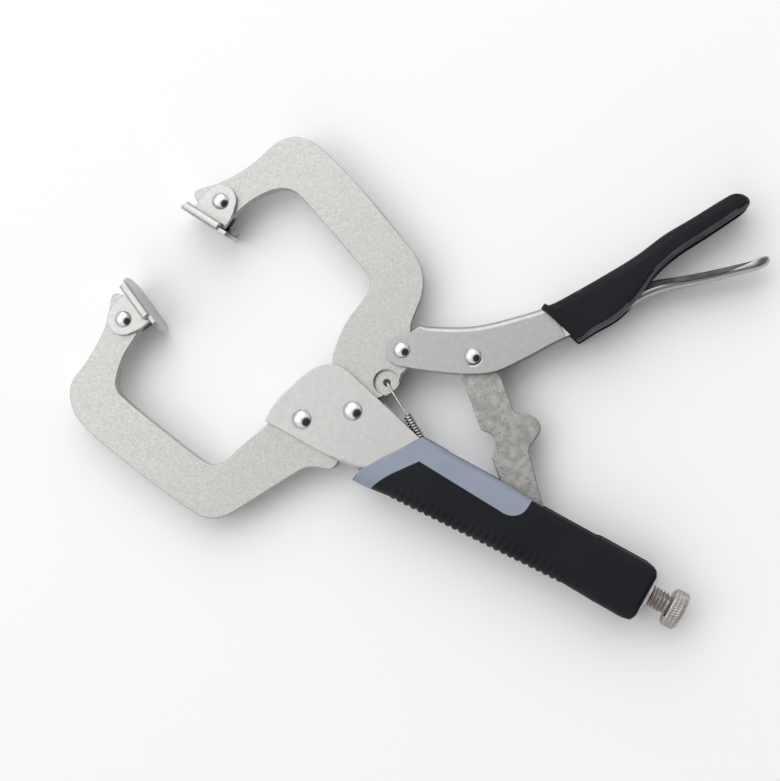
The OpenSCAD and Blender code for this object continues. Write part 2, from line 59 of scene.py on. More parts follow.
jointAt = {j["name"]: np.array(j.get("pos_m", (0, 0, 0)), float) for j in frame["joints"]}
jawPivot = jointAt["jaw_pivot"]
bodyOf = {n: b for b, nodes in frame["record"]["behaviour"]["bodies"].items() for n in nodes}
slotOf = {part["node"]: part["material_slot"] for part in frame["record"]["subparts"]}
leverLean = math.radians(51.5)  # from the fixed handle to the lever handle
leverAlong = np.array([math.cos(leverLean), math.sin(leverLean)])


def drawn(point):
    # a frame position, in millimetres round the jaw pivot
    return (np.asarray(point, float) - jawPivot) / mm


def addObject(name, data):
    thing = bpy.data.objects.new(name, data)
    bpy.context.scene.collection.objects.link(thing)
    return thing


def newGroup(name, inputs, outputs):
    group = bpy.data.node_groups.new(name, "ShaderNodeTree")
    for label, kind, value in inputs:
        socket = group.interface.new_socket(label, in_out="INPUT", socket_type="NodeSocket" + kind)
        socket.default_value = value
    for label, kind in outputs:
        group.interface.new_socket(label, in_out="OUTPUT", socket_type="NodeSocket" + kind)
    return group, group.nodes.new("NodeGroupInput"), group.nodes.new("NodeGroupOutput")


def addNode(tree, kind, links=None, **settings):
    # a node with its settings, then its inputs: a socket is linked, a number is written in
    node = tree.nodes.new("ShaderNode" + kind)
    for key, value in settings.items():
        setattr(node, key, value)
    for key, value in (links or {}).items():
        if isinstance(value, bpy.types.NodeSocket):
            tree.links.new(value, node.inputs[key])
        else:
            node.inputs[key].default_value = value
    return node


def makeEdgeGroup():
    # edges: how far the normal rounded over a radius leans from the true one; this lean is also the mask for the
    # edge wear and painted edge highlight
    group, given, out = newGroup(
        "roundedEdges", [("Radius", "Float", 0.0003), ("Gain", "Float", 6.0)],
        [("Normal", "Vector"), ("Mask", "Float")])
    bevel = addNode(group, "Bevel", {"Radius": given.outputs["Radius"]}, samples=4)
    shape = addNode(group, "NewGeometry")
    dot = addNode(group, "VectorMath", {0: bevel.outputs[0], 1: shape.outputs["True Normal"]},
                  operation="DOT_PRODUCT")
    lean = addNode(group, "Math", {0: 1.0, 1: dot.outputs["Value"]}, operation="SUBTRACT")
    gain = addNode(group, "Math", {0: lean.outputs[0], 1: given.outputs["Gain"]},
                   operation="MULTIPLY", use_clamp=True)
    group.links.new(bevel.outputs[0], out.inputs["Normal"])
    group.links.new(gain.outputs[0], out.inputs["Mask"])
    return group


def makeGrainGroup():
    # grain: fine noise for the skin of a metal or a moulding, with sparse pits below it
    group, given, out = newGroup(
        "surfaceGrain",
        [("Grain Scale", "Float", 3000.0), ("Mottle Scale", "Float", 60.0),
         ("Pit Scale", "Float", 900.0), ("Pit Share", "Float", 0.3)],
        [("Height", "Float"), ("Mottle", "Float"), ("Pits", "Float")])
    where = addNode(group, "TexCoord")
    fine = addNode(group, "TexNoise", {
        "Vector": where.outputs["Object"], "Scale": given.outputs["Grain Scale"],
        "Detail": 4.0, "Roughness": 0.6})
    mottle = addNode(group, "TexNoise", {
        "Vector": where.outputs["Object"], "Scale": given.outputs["Mottle Scale"],
        "Detail": 5.0, "Roughness": 0.62})
    cells = addNode(group, "TexVoronoi", {
        "Vector": where.outputs["Object"], "Scale": given.outputs["Pit Scale"]})
    edge = addNode(group, "Math", {0: given.outputs["Pit Share"], 1: cells.outputs["Distance"]},
                   operation="SUBTRACT")
    pits = addNode(group, "Math", {0: edge.outputs[0], 1: 5.0}, operation="MULTIPLY", use_clamp=True)
    sparse = addNode(group, "Math", {0: cells.outputs["Color"], 1: 0.62}, operation="GREATER_THAN")
    chosen = addNode(group, "Math", {0: pits.outputs[0], 1: sparse.outputs[0]}, operation="MULTIPLY")
    height = addNode(group, "Math", {0: fine.outputs["Fac"], 1: chosen.outputs[0]},
                     operation="SUBTRACT")
    group.links.new(height.outputs[0], out.inputs["Height"])
    group.links.new(mottle.outputs["Fac"], out.inputs["Mottle"])
    group.links.new(chosen.outputs[0], out.inputs["Pits"])
    return group


def makeToneGroup():
    # tone: a light and a dark colour mixed by the mottle, darkened in pits, and brightened on edges toward an edge
    # colour that is partly edge wear and partly a painted highlight
    group, given, out = newGroup(
        "tonedSurface",
        [("Light", "Color", (1, 1, 1, 1)), ("Dark", "Color", (0, 0, 0, 1)),
         ("Edge Wear And Highlight", "Color", (1, 1, 1, 1)), ("Mottle", "Float", 0.5), ("Pits", "Float", 0.0),
         ("Edge", "Float", 0.0), ("Smooth", "Float", 0.3), ("Rough", "Float", 0.5)],
        [("Color", "Color"), ("Roughness", "Float")])
    spread = addNode(group, "MapRange", {
        "Value": given.outputs["Mottle"], "From Min": 0.32, "From Max": 0.68})
    colour = given.outputs["Dark"]
    for share, over in ((spread.outputs[0], "Light"), (given.outputs["Pits"], "Dark"),
                        (given.outputs["Edge"], "Edge Wear And Highlight")):
        layer = addNode(group, "Mix", data_type="RGBA")
        group.links.new(share, layer.inputs[0])
        group.links.new(colour, layer.inputs[6])
        group.links.new(given.outputs[over], layer.inputs[7])
        colour = layer.outputs[2]
    rough = addNode(group, "MapRange", {
        "Value": spread.outputs[0], "To Min": given.outputs["Rough"],
        "To Max": given.outputs["Smooth"]})
    group.links.new(colour, out.inputs["Color"])
    group.links.new(rough.outputs[0], out.inputs["Roughness"])
    return group


edgeGroup, grainGroup, toneGroup = makeEdgeGroup(), makeGrainGroup(), makeToneGroup()


def makeFinish(name, look):
    # one finish: the three groups feed a single shader
    material = bpy.data.materials.new(name)
    material.use_nodes = True
    tree = material.node_tree
    shader = tree.nodes["Principled BSDF"]
    shader.inputs["Metallic"].default_value = look["metal"]
    shader.inputs["Specular IOR Level"].default_value = look.get("specular", 0.5)
    edges, grain, tone = (tree.nodes.new("ShaderNodeGroup") for _ in range(3))
    edges.node_tree, grain.node_tree, tone.node_tree = edgeGroup, grainGroup, toneGroup
    edges.inputs["Radius"].default_value = look["edge"] * mm
    edges.inputs["Gain"].default_value = look["edgeGain"]
    for label, key in (("Grain Scale", "grain"), ("Mottle Scale", "mottle"),
                       ("Pit Scale", "pits"), ("Pit Share", "pitShare")):
        grain.inputs[label].default_value = look[key]
    for label, key in (("Light", "light"), ("Dark", "dark"), ("Edge Wear And Highlight", "edgeWearAndHighlight")):
        tone.inputs[label].default_value = (*look[key], 1)
    tone.inputs["Smooth"].default_value = look["smooth"]
    tone.inputs["Rough"].default_value = look["rough"]
    for label in ("Mottle", "Pits"):
        tree.links.new(grain.outputs[label], tone.inputs[label])
    tree.links.new(edges.outputs["Mask"], tone.inputs["Edge"])
    bump = addNode(tree, "Bump", {
        "Strength": look["bump"], "Distance": look["depth"] * mm,
        "Height": grain.outputs["Height"], "Normal": edges.outputs["Normal"]})
    tree.links.new(tone.outputs["Color"], shader.inputs["Base Color"])
    tree.links.new(tone.outputs["Roughness"], shader.inputs["Roughness"])
    tree.links.new(bump.outputs["Normal"], shader.inputs["Normal"])
    return material


# each finish's edge colour is partly edge wear and partly a painted highlight on its rounded edges
steelLook = dict(metal=1.0, edge=0.3, edgeGain=2.0, grain=2600, mottle=480, pits=620, pitShare=0.2,
                 light=(0.528, 0.523, 0.513), dark=(0.477, 0.472, 0.462), edgeWearAndHighlight=(0.66, 0.66, 0.65),
                 smooth=0.34, rough=0.42, bump=0.12, depth=0.05)
finishes = {
    "sheet_steel": makeFinish("satinSheet", steelLook),
    "lever_sheet": makeFinish("leverSheet", {
        **steelLook, "light": (0.435, 0.43, 0.43), "dark": (0.388, 0.383, 0.378)}),
    "jaw_steel": makeFinish("forgedJaw", {
        **steelLook, "light": (0.515, 0.51, 0.495), "dark": (0.43, 0.425, 0.41), "smooth": 0.38,
        "rough": 0.5, "grain": 1500, "mottle": 1000, "pits": 780, "pitShare": 0.36, "bump": 0.34,
        "depth": 0.09}),
    "rivet_steel": makeFinish("polishedRivet", {
        **steelLook, "light": (0.72, 0.72, 0.72), "dark": (0.66, 0.66, 0.66), "smooth": 0.12,
        "rough": 0.2, "bump": 0.03, "pitShare": 0.1}),
    "link_steel": makeFinish("grainyLink", {
        **steelLook, "light": (0.41, 0.405, 0.395), "dark": (0.29, 0.28, 0.265), "smooth": 0.42,
        "rough": 0.6, "grain": 1300, "mottle": 300, "pitShare": 0.42, "bump": 0.4, "depth": 0.12}),
    "screw_steel": makeFinish("nickelScrew", {
        **steelLook, "light": (0.50, 0.465, 0.44), "dark": (0.30, 0.265, 0.24), "smooth": 0.24,
        "rough": 0.4}),
    "spring_steel": makeFinish("springWire", {
        **steelLook, "light": (0.6, 0.59, 0.57), "dark": (0.42, 0.41, 0.40), "smooth": 0.2,
        "rough": 0.32}),
    # painted shade: a dark steel for the inside of the release lever's trough, standing for the shade that falls
    # there
    "painted_shade_inside": makeFinish("paintedShadeInside", {
        **steelLook, "light": (0.16, 0.15, 0.14), "dark": (0.09, 0.084, 0.078), "smooth": 0.4,
        "rough": 0.55, "edgeWearAndHighlight": (0.4, 0.39, 0.38), "mottle": 160}),
    "grip_black": makeFinish("darkGrip", dict(
        metal=0.0, specular=0.2, edge=0.5, edgeGain=0.7, grain=1800, mottle=45, pits=1200,
        pitShare=0.2, light=(0.0065, 0.0072, 0.011), dark=(0.0035, 0.004, 0.0065),
        edgeWearAndHighlight=(0.028, 0.029, 0.036), smooth=0.5, rough=0.62, bump=0.25, depth=0.06)),
    # painted reflection: a paler grip colour for the sleeve's rounded lower rims, standing for the pale
    # surroundings they reflect
    "painted_rim_reflection": makeFinish("paintedRimReflection", dict(
        metal=0.0, specular=0.5, edge=0.5, edgeGain=0.7, grain=1500, mottle=120, pits=900,
        pitShare=0.3, light=(0.09, 0.088, 0.102), dark=(0.042, 0.042, 0.05),
        edgeWearAndHighlight=(0.12, 0.12, 0.132), smooth=0.4, rough=0.6, bump=0.3, depth=0.08)),
    "grip_blue": makeFinish("greyBlueGrip", dict(
        metal=0.0, specular=0.35, edge=0.5, edgeGain=0.7, grain=1800, mottle=45, pits=1200,
        pitShare=0.2, light=(0.285, 0.32, 0.40), dark=(0.25, 0.285, 0.36),
        edgeWearAndHighlight=(0.38, 0.42, 0.5), smooth=0.5, rough=0.6, bump=0.2, depth=0.05)),
}
print("finishes made")


def makeMesh(name, points, faces, clipTo=()):
    # points in millimetres round the jaw pivot become a mesh in the frame, with doubles merged
    placed = jawPivot + np.asarray(points, float).reshape(-1, 3) * mm
    if clipTo:
        lows, highs = zip(*(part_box(node) for node in clipTo))
        placed = np.clip(placed, np.min(lows, 0), np.max(highs, 0))
    mesh = bpy.data.meshes.new(name)
    mesh.from_pydata(placed.tolist(), [], [list(map(int, face)) for face in faces])
    work = bmesh.new()
    work.from_mesh(mesh)
    bmesh.ops.remove_doubles(work, verts=work.verts, dist=2e-7)
    bmesh.ops.dissolve_degenerate(work, edges=work.edges, dist=2e-7)
    bmesh.ops.recalc_face_normals(work, faces=work.faces)
    work.to_mesh(mesh)
    work.free()
    return mesh


def joinParts(*parts):
    # several (points, faces) pairs as one
    starts = np.cumsum([0] + [len(points) for points, _ in parts])
    points = np.concatenate([points for points, _ in parts])
    faces = [[index + start for index in face] for (_, fs), start in zip(parts, starts) for face in fs]
    return points, faces


def gridFaces(rows, columns):
    # quads between neighbouring points of a grid whose rows are closed rings
    row, column = np.meshgrid(np.arange(rows - 1), np.arange(columns), indexing="ij")
    after = (column + 1) % columns
    quads = np.stack([row * columns + column, row * columns + after,
                      (row + 1) * columns + after, (row + 1) * columns + column], -1)
    return quads.reshape(-1, 4).tolist()


def closeEnds(points):
    # a run of closed sections as one solid, its ends filled
    rows, columns = points.shape[:2]
    faces = gridFaces(rows, columns)
    faces += [list(range(columns))[::-1], list(range((rows - 1) * columns, rows * columns))]
    return points.reshape(-1, 3), faces


def settle(name, mesh, node, sharp, slot=None):
    # a finished piece rides on its node's body and stands for it; large faces keep their own normals
    piece = addObject(name, mesh)
    mesh.polygons.foreach_set("use_smooth", [True] * len(mesh.polygons))
    mesh.set_sharp_from_angle(angle=math.radians(sharp))
    mesh.materials.clear()
    mesh.materials.append(finishes[slot or slotOf[node]])
    piece.modifiers.new("flat faces", "WEIGHTED_NORMAL").keep_sharp = True
    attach(piece, bodyOf[node])
    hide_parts(node)


def buildPiece(name, node, solid, sharp=35, slot=None):
    # points and faces become the finished piece that stands for a node, kept inside its box
    mesh = makeMesh(name, *solid, clipTo=[node])
    settle(name, mesh, node, sharp, slot)
    return mesh


def levelCut(node, height):
    # closed outlines of a CAD node cut level at a height above the mid-plane: the outer one runs
    # anticlockwise and comes first, holes run clockwise
    work = bmesh.new()
    work.from_mesh(frame["nodes"][node].data)
    bmesh.ops.remove_doubles(work, verts=work.verts, dist=1e-6)
    bmesh.ops.bisect_plane(
        work, geom=work.verts[:] + work.edges[:] + work.faces[:], plane_no=(0, 0, 1),
        plane_co=(0, 0, jawPivot[2] + height * mm), clear_inner=True, clear_outer=True)
    bmesh.ops.remove_doubles(work, verts=work.verts, dist=2e-6)
    left, lines = set(work.edges), []
    for start in work.edges:
        if start not in left:
            continue
        left.discard(start)
        first, at = start.verts
        line = [first.co[:]]
        while at != first:
            line.append(at.co[:])
            edge = next((e for e in at.link_edges if e in left), None)
            if edge is None:
                break
            left.discard(edge)
            at = edge.other_vert(at)
        lines.append(dropStraight(drawn(line)[:, :2]))
    work.free()
    lines = [line for line in lines if len(line) > 2]
    lines.sort(key=lambda line: -abs(signedArea(line)))
    return [line if (signedArea(line) > 0) == (k == 0) else line[::-1] for k, line in enumerate(lines)]


def signedArea(line):
    # shoelace sum: positive when the outline runs anticlockwise
    after = np.roll(line, -1, 0)
    return 0.5 * np.sum(line[:, 0] * after[:, 1] - after[:, 0] * line[:, 1])


def dropStraight(line):
    # leaves out points that lie on the straight line between their neighbours
    before, after = line - np.roll(line, 1, 0), np.roll(line, -1, 0) - line
    bend = np.abs(before[:, 0] * after[:, 1] - before[:, 1] * after[:, 0])
    return line[bend > 1e-3 * np.linalg.norm(np.roll(line, -1, 0) - np.roll(line, 1, 0), axis=1)]


def smoothLine(line, steps=4, corner=26, straight=7.0):
    # cubic Hermite pieces through a closed outline: a tangent leans to the nearer neighbour, a
    # corner keeps its two own directions, and a long stretch stays straight
    out = np.roll(line, -1, 0) - line
    length = np.linalg.norm(out, axis=1, keepdims=True)
    out = out / length
    into, lengthBefore = np.roll(out, 1, 0), np.roll(length, 1, 0)
    tangent = out * lengthBefore + into * length
    tangent /= np.linalg.norm(tangent, axis=1, keepdims=True)
    turn = np.degrees(np.arccos(np.clip(np.sum(out * into, 1, keepdims=True), -1, 1)))
    isLong, beforeLong = length > straight, lengthBefore > straight
    leave = np.where((turn > corner) | isLong, out, np.where(beforeLong, into, tangent))
    arrive = np.where((turn > corner) | beforeLong, into, np.where(isLong, out, tangent))
    arrive = np.roll(arrive, -1, 0)
    after = np.roll(line, -1, 0)
    t = (np.arange(steps) / steps)[None, :, None]
    a, b = line[:, None], after[:, None]
    ta, tb = (leave * length)[:, None], (arrive * length)[:, None]
    curve = ((2 * t**3 - 3 * t**2 + 1) * a + (t**3 - 2 * t**2 + t) * ta
             + (3 * t**2 - 2 * t**3) * b + (t**3 - t**2) * tb)
    return curve.reshape(-1, 2)


def outward(line):
    # normals of a closed outline, lengthened at corners so that an inset keeps its width
    along = np.roll(line, -1, 0) - line
    along /= np.linalg.norm(along, axis=1, keepdims=True)
    side = np.stack([along[:, 1], -along[:, 0]], 1)
    both = side + np.roll(side, 1, 0)
    both /= np.linalg.norm(both, axis=1, keepdims=True)
    return both / np.maximum(np.sum(both * side, 1, keepdims=True), 0.6)


faceRing = 0.12  # width of the flat ring inside a rounded edge, which keeps the face's shading flat


def plate(loops, low, high, top, bottom, rings=5):
    # outlines raised from low to high, with edges rounded by quarter circles: at angle a the wall
    # stands in by r(1 - cos a) and is r(1 - sin a) away from the face. A radius may be a function
    # of (points, normals) for a fold
    angle = np.linspace(0, np.pi / 2, rings + 1)[:, None]
    parts, ends = [], []
    for line in loops:
        normal = outward(line)
        upper = top(line, normal) if callable(top) else np.full(len(line), top)
        lower = bottom(line, normal) if callable(bottom) else np.full(len(line), bottom)
        inset = np.concatenate([[lower + faceRing], (lower * (1 - np.cos(angle)))[::-1],
                                upper * (1 - np.cos(angle)), [upper + faceRing]])
        height = np.concatenate([[low + 0 * lower], (low + lower * (1 - np.sin(angle)))[::-1],
                                 high - upper * (1 - np.sin(angle)), [high + 0 * upper]])
        flat = line[None] - normal[None] * inset[..., None]
        points = np.concatenate([flat, height[..., None]], 2)
        parts.append((points.reshape(-1, 3), gridFaces(len(height), len(line))))
        ends.append((points[0], points[-1]))
    for rims in zip(*ends):
        fill = geometry.tessellate_polygon([[Vector(p) for p in rim] for rim in rims])
        parts.append((np.concatenate(rims), [list(face) for face in fill]))
    return joinParts(*parts)


def revolve(profile, centre, axis, count=64):
    # surface of revolution: profile points (distance along the axis, radius) carried round it
    profile = np.asarray(profile, float)
    axis = np.asarray(axis, float) / np.linalg.norm(axis)
    side = np.cross(axis, (0, 1, 0) if abs(axis[1]) < 0.9 else (1, 0, 0))
    side /= np.linalg.norm(side)
    other = np.cross(axis, side)
    turn = np.linspace(0, 2 * np.pi, count, endpoint=False)
    ring = np.cos(turn)[:, None] * side + np.sin(turn)[:, None] * other
    points = (np.asarray(centre, float) + profile[:, None, :1] * axis
              + profile[:, None, 1:] * ring[None])
    return points.reshape(-1, 3), gridFaces(len(profile), count)


def arcPoints(centre, radius, start, end, count):
    # points on a circle between two angles in degrees
    turn = np.radians(np.linspace(start, end, count))
    return np.stack([centre[0] + radius * np.cos(turn), centre[1] + radius * np.sin(turn)], 1)


def tube(path, radius, sides=12):
    # circle carried along a path, its frame turned as little as possible from point to point
    path = np.asarray(path, float)
    along = np.gradient(path, axis=0)
    along /= np.linalg.norm(along, axis=1, keepdims=True)
    side = np.zeros_like(path)
    side[0] = np.cross(along[0], (0.3, 0.9, 0.2))
    for k in range(1, len(path)):
        side[k] = side[k - 1] - along[k] * np.dot(side[k - 1], along[k])
        side[k] /= np.linalg.norm(side[k])
    side[0] /= np.linalg.norm(side[0])
    other = np.cross(along, side)
    turn = np.linspace(0, 2 * np.pi, sides, endpoint=False)[None, :, None]
    points = path[:, None] + radius * (np.cos(turn) * side[:, None] + np.sin(turn) * other[:, None])
    return closeEnds(points)


def trimmedCopy(node, point, facing):
    # the part of a CAD node on one side of a plane, with its loose triangles joined
    work = bmesh.new()
    work.from_mesh(frame["nodes"][node].data)
    bmesh.ops.remove_doubles(work, verts=work.verts, dist=1e-6)
    bmesh.ops.bisect_plane(work, geom=work.verts[:] + work.edges[:] + work.faces[:],
                           plane_co=(jawPivot + np.array([*point, 0]) * mm).tolist(),
                           plane_no=(*facing, 0), clear_inner=True)
    openEdges = [edge for edge in work.edges if edge.is_boundary]
    bmesh.ops.holes_fill(work, edges=openEdges, sides=0)
    work.verts.index_update()
    points = drawn([v.co[:] for v in work.verts])
    faces = [[v.index for v in face.verts] for face in work.faces]
    work.free()
    return points, faces


jaws = dict(half=3.0, edge=0.55, cutAt=2.9, earHalf=1.2, earEdge=0.4, earGap=0.03)


def buildJaws():
    # each jaw is its own outline with rounded forged edges; the ear is a thinner plate inside it
    for node, name in (("fixed_jaw", "fixedJaw"), ("moving_jaw", "movingJaw")):
        lines = [smoothLine(line) for line in levelCut(node, jaws["cutAt"])]
        body = plate(lines, -jaws["half"], jaws["half"], jaws["edge"], jaws["edge"])
        if node == "moving_jaw":
            inner = [smoothLine(line) for line in levelCut(node, 0)]
            inner = [line - outward(line) * jaws["earGap"] for line in inner]
            ear = plate(inner, -jaws["earHalf"], jaws["earHalf"], jaws["earEdge"], jaws["earEdge"])
            body = joinParts(body, ear)
        buildPiece(name, node, body)


cheeks = dict(inner=3.12, frameOuter=5.62, leverOuter=5.32, edge=0.3, innerEdge=0.15, webEdge=0.05,
              overlap=0.1, frameFold=2.4, frameFoldFrom=4.5, frameFoldTo=9.0, leverFold=2.2,
              leverFoldFrom=8.0, leverFoldTo=16.0, frameSplit=32.5, leverSplit=66.0, cutAt=5.0)


def keepFront(lines, direction, reach):
    # outlines cut off square where they pass a distance along a direction, smoothed
    kept = []
    for line in lines:
        depth = line @ np.array(direction, float)
        step, rise = np.roll(line, -1, 0) - line, np.roll(depth, -1) - depth
        inside = depth < reach
        crosses = inside != np.roll(inside, -1)
        cut = line + step * ((reach - depth) / np.where(crosses, rise, 1))[:, None]
        points = np.stack([line, cut], 1)[np.stack([inside, crosses], 1)]
        if len(points) > 2:
            kept.append(smoothLine(points))
    return kept


def foldRadius(facing, start, end, fold):
    # the edge radius grows to the fold's where the outline faces one way, from start to end along
    # the direction square to it that leads to the grips
    facing = np.array(facing, float) / np.linalg.norm(facing)
    ahead = np.array([facing[1], -facing[0]])
    ahead *= np.sign(ahead[0])

    def radius(line, normal):
        faces = np.clip((normal @ facing - 0.45) / 0.3, 0, 1)
        along = np.clip((line @ ahead - start) / (end - start), 0, 1)
        share = faces * along
        return cheeks["edge"] + (fold - cheeks["edge"]) * share * share * (3 - 2 * share)
    return radius


def buildSheet(name, node, along, split, outer, fold, slot=None):
    # two cheeks and the folded web between them as far as the split point, cut square to the
    # direction along, and the node's own rear beyond it
    inner, small = cheeks["inner"], cheeks["innerEdge"]
    reach, webHalf = float(split @ along), inner + cheeks["overlap"]
    side = keepFront(levelCut(node, cheeks["cutAt"]), along, reach)
    near = plate(side, inner, outer, fold, small)
    far = plate(side, -outer, -inner, small, fold)
    middle = keepFront(levelCut(node, 0), along, reach)[:1]
    web = plate(middle, -webHalf, webHalf, cheeks["webEdge"], cheeks["webEdge"])
    rear = trimmedCopy(node, split, along)
    buildPiece(name, node, joinParts(near, far, web, rear), slot=slot)


def buildSheets():
    # the frame's fold runs under its cheeks, the lever's along its back
    c, along = cheeks, np.array([1.0, 0.0])
    fold = foldRadius((-0.05, -1), c["frameFoldFrom"], c["frameFoldTo"], c["frameFold"])
    buildSheet("frameChannel", "frame_channel", along, along * c["frameSplit"], c["frameOuter"], fold)
    pivot = drawn(jointAt["handle_pivot"])[:2]
    start = float(pivot @ leverAlong)
    fold = foldRadius((-leverAlong[1], leverAlong[0]), start + c["leverFoldFrom"],
                      start + c["leverFoldTo"], c["leverFold"])
    buildSheet("leverHandle", "lever_handle", leverAlong, pivot + leverAlong * c["leverSplit"],
               c["leverOuter"], fold, slot="lever_sheet")


link = dict(half=2.5, edge=0.5)


def buildLink():
    # the stamped plate with its two bumps, edges rounded by the punch
    lines = [smoothLine(line) for line in levelCut("toggle_link", 0)]
    body = plate(lines, -link["half"], link["half"], link["edge"], link["edge"])
    buildPiece("toggleLink", "toggle_link", body)


# each kind gives how far its heads stand proud and its shank's radius
rivets = dict(rim=0.5, rimRound=0.18, pinChamfer=0.3, pad=(2.0, 2.1), mid=(2.2, 2.6), big=(2.4, 3.0))


def rivetProfile(half, head, shank, rise):
    # one half of a rivet's outline: shank, head's underside, short rim, then a dome that is the
    # circle of radius (head^2 + h^2) / 2h through the rim and the top
    h = rise - rivets["rim"]
    big = (head * head + h * h) / (2 * h)
    lean = math.degrees(math.asin(head / big))
    dome = arcPoints((0, half + rivets["rim"] + h - big), big, 90 - lean, 90, 22)[:, ::-1]
    corner = rivets["rimRound"]
    return np.concatenate([[(0, shank), (half, shank), (half, head - corner),
                            (half + corner, head)], dome])


def buildRivet(name, node, kind):
    # both halves are the same profile turned round the node's upright axis
    low, high = (drawn(corner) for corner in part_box(node))
    radius, top = (high[0] - low[0]) / 2, high[2]
    centre = ((low[0] + high[0]) / 2, (low[1] + high[1]) / 2, 0)
    if kind == "pin":
        chamfer = rivets["pinChamfer"]
        profile = [(0, radius), (top - chamfer, radius), (top, radius - chamfer), (top, 0)]
    else:
        rise, shank = rivets[kind]
        profile = rivetProfile(top - rise, radius, shank, rise)
    both = joinParts(*(revolve(profile, centre, (0, 0, way)) for way in (1, -1)))
    if kind == "pin":
        settle(name, makeMesh(name, *both), node, 35)
    else:
        buildPiece(name, node, both, sharp=50)


def buildRivets():
    for name, node, kind in (
            ("fixedJawRivet", "fixed_jaw_rivet", "big"), ("jawPivotRivet", "jaw_pivot_rivet", "big"),
            ("handlePivotRivet", "handle_pivot_rivet", "mid"),
            ("linkPivotRivet", "link_pivot_rivet", "mid"),
            ("upperPadRivet", "upper_pad_rivet", "pad"), ("lowerPadRivet", "lower_pad_rivet", "pad"),
            ("releasePin", "release_lever_pin", "pin")):
        buildRivet(name, node, kind)


screw = dict(crest=4.75, root=3.85, pitch=1.5, spigot=3.0, spigotLength=5.4, perTurn=16, round=72)
knob = dict(radius=8.2, chamfer=1.15, chamferSlope=1.15, bore=3.1, dish=3.0, dishDepth=0.35, lines=42,
            slope=0.3, depth=0.32, round=252, along=44)


def buildScrew():
    # thread: the radius at angle a and distance x follows one tooth shape of x / pitch - a / turn,
    # fading out at both ends, with a plain spigot for the knob
    low, high = (drawn(corner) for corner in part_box("adjusting_screw"))
    length = high[0] - low[0]
    count = int(length / screw["pitch"] * screw["perTurn"])
    x = np.linspace(0, length, count)[:, None]
    turn = np.linspace(0, 2 * np.pi, screw["round"], endpoint=False)[None]
    phase = (x / screw["pitch"] - turn / (2 * np.pi)) % 1
    tooth = np.clip((1 - np.abs(2 * phase - 1) - 0.1) / 0.78, 0, 1)
    plain = screw["spigotLength"] + 1
    fade = np.clip((x - 1.2) / 1.2, 0, 1) * np.clip((length - plain - x) / 0.5, 0, 1)
    radius = screw["root"] + (screw["crest"] - screw["root"]) * tooth * fade
    radius = np.where(x > length - screw["spigotLength"], screw["spigot"], radius)
    radius = radius * (0.86 + 0.14 * np.clip(x / 0.5, 0, 1))
    centre = np.array([low[0], (low[1] + high[1]) / 2, 0])
    x = np.broadcast_to(x, radius.shape)
    points = np.stack([x, radius * np.cos(turn), radius * np.sin(turn)], 2) + centre
    buildPiece("adjustingScrew", "adjusting_screw", closeEnds(points), sharp=60)


def buildKnob():
    # diamond knurl: two sets of helical grooves, the height being the smaller of two triangle waves
    low, high = (drawn(corner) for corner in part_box("screw_knob"))
    length, radius = high[0] - low[0], knob["radius"]
    turn = np.linspace(0, 2 * np.pi, knob["round"], endpoint=False)[None]
    x = np.linspace(0, length, knob["along"])[:, None]
    wave = [1 - np.abs(2 * ((knob["lines"] * turn / (2 * np.pi) + s * x * knob["slope"]) % 1) - 1)
            for s in (1, -1)]
    rise = np.minimum(1, 2.2 * np.minimum(*wave))
    barrel = radius - knob["depth"] * (1 - rise)
    ends = np.minimum(x, length - x) * knob["chamferSlope"]
    limit = np.minimum(radius, radius - knob["chamfer"] + ends)
    r = np.minimum(barrel, limit)
    bore = drawn(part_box("adjusting_screw")[1])[0] - low[0] + 0.2
    before = np.array([(bore, 0.0), (bore, knob["bore"]), (0, knob["bore"])])[:, :, None]
    floor = length - knob["dishDepth"]
    behind = np.array([(length, radius - knob["dish"]), (floor, 1.0), (floor, 0.0)])[:, :, None]
    ones = np.ones((1, knob["round"]))
    r = np.concatenate([before[:, 1] * ones, r, behind[:, 1] * ones])
    x = np.concatenate([before[:, 0] * ones, x * ones, behind[:, 0] * ones])
    centre = np.array([low[0], (low[1] + high[1]) / 2, 0])
    points = np.stack([x, r * np.cos(turn), r * np.sin(turn)], 2) + centre
    buildPiece("screwKnob", "screw_knob", (points, gridFaces(*r.shape)), sharp=40)


spring = dict(hole=(6.9, 17.4), hook=(48, -6.3), wire=0.5, coilFrom=16.2, turns=15, coilRadius=1.42,
              pitch=1.32, lift=1.75)


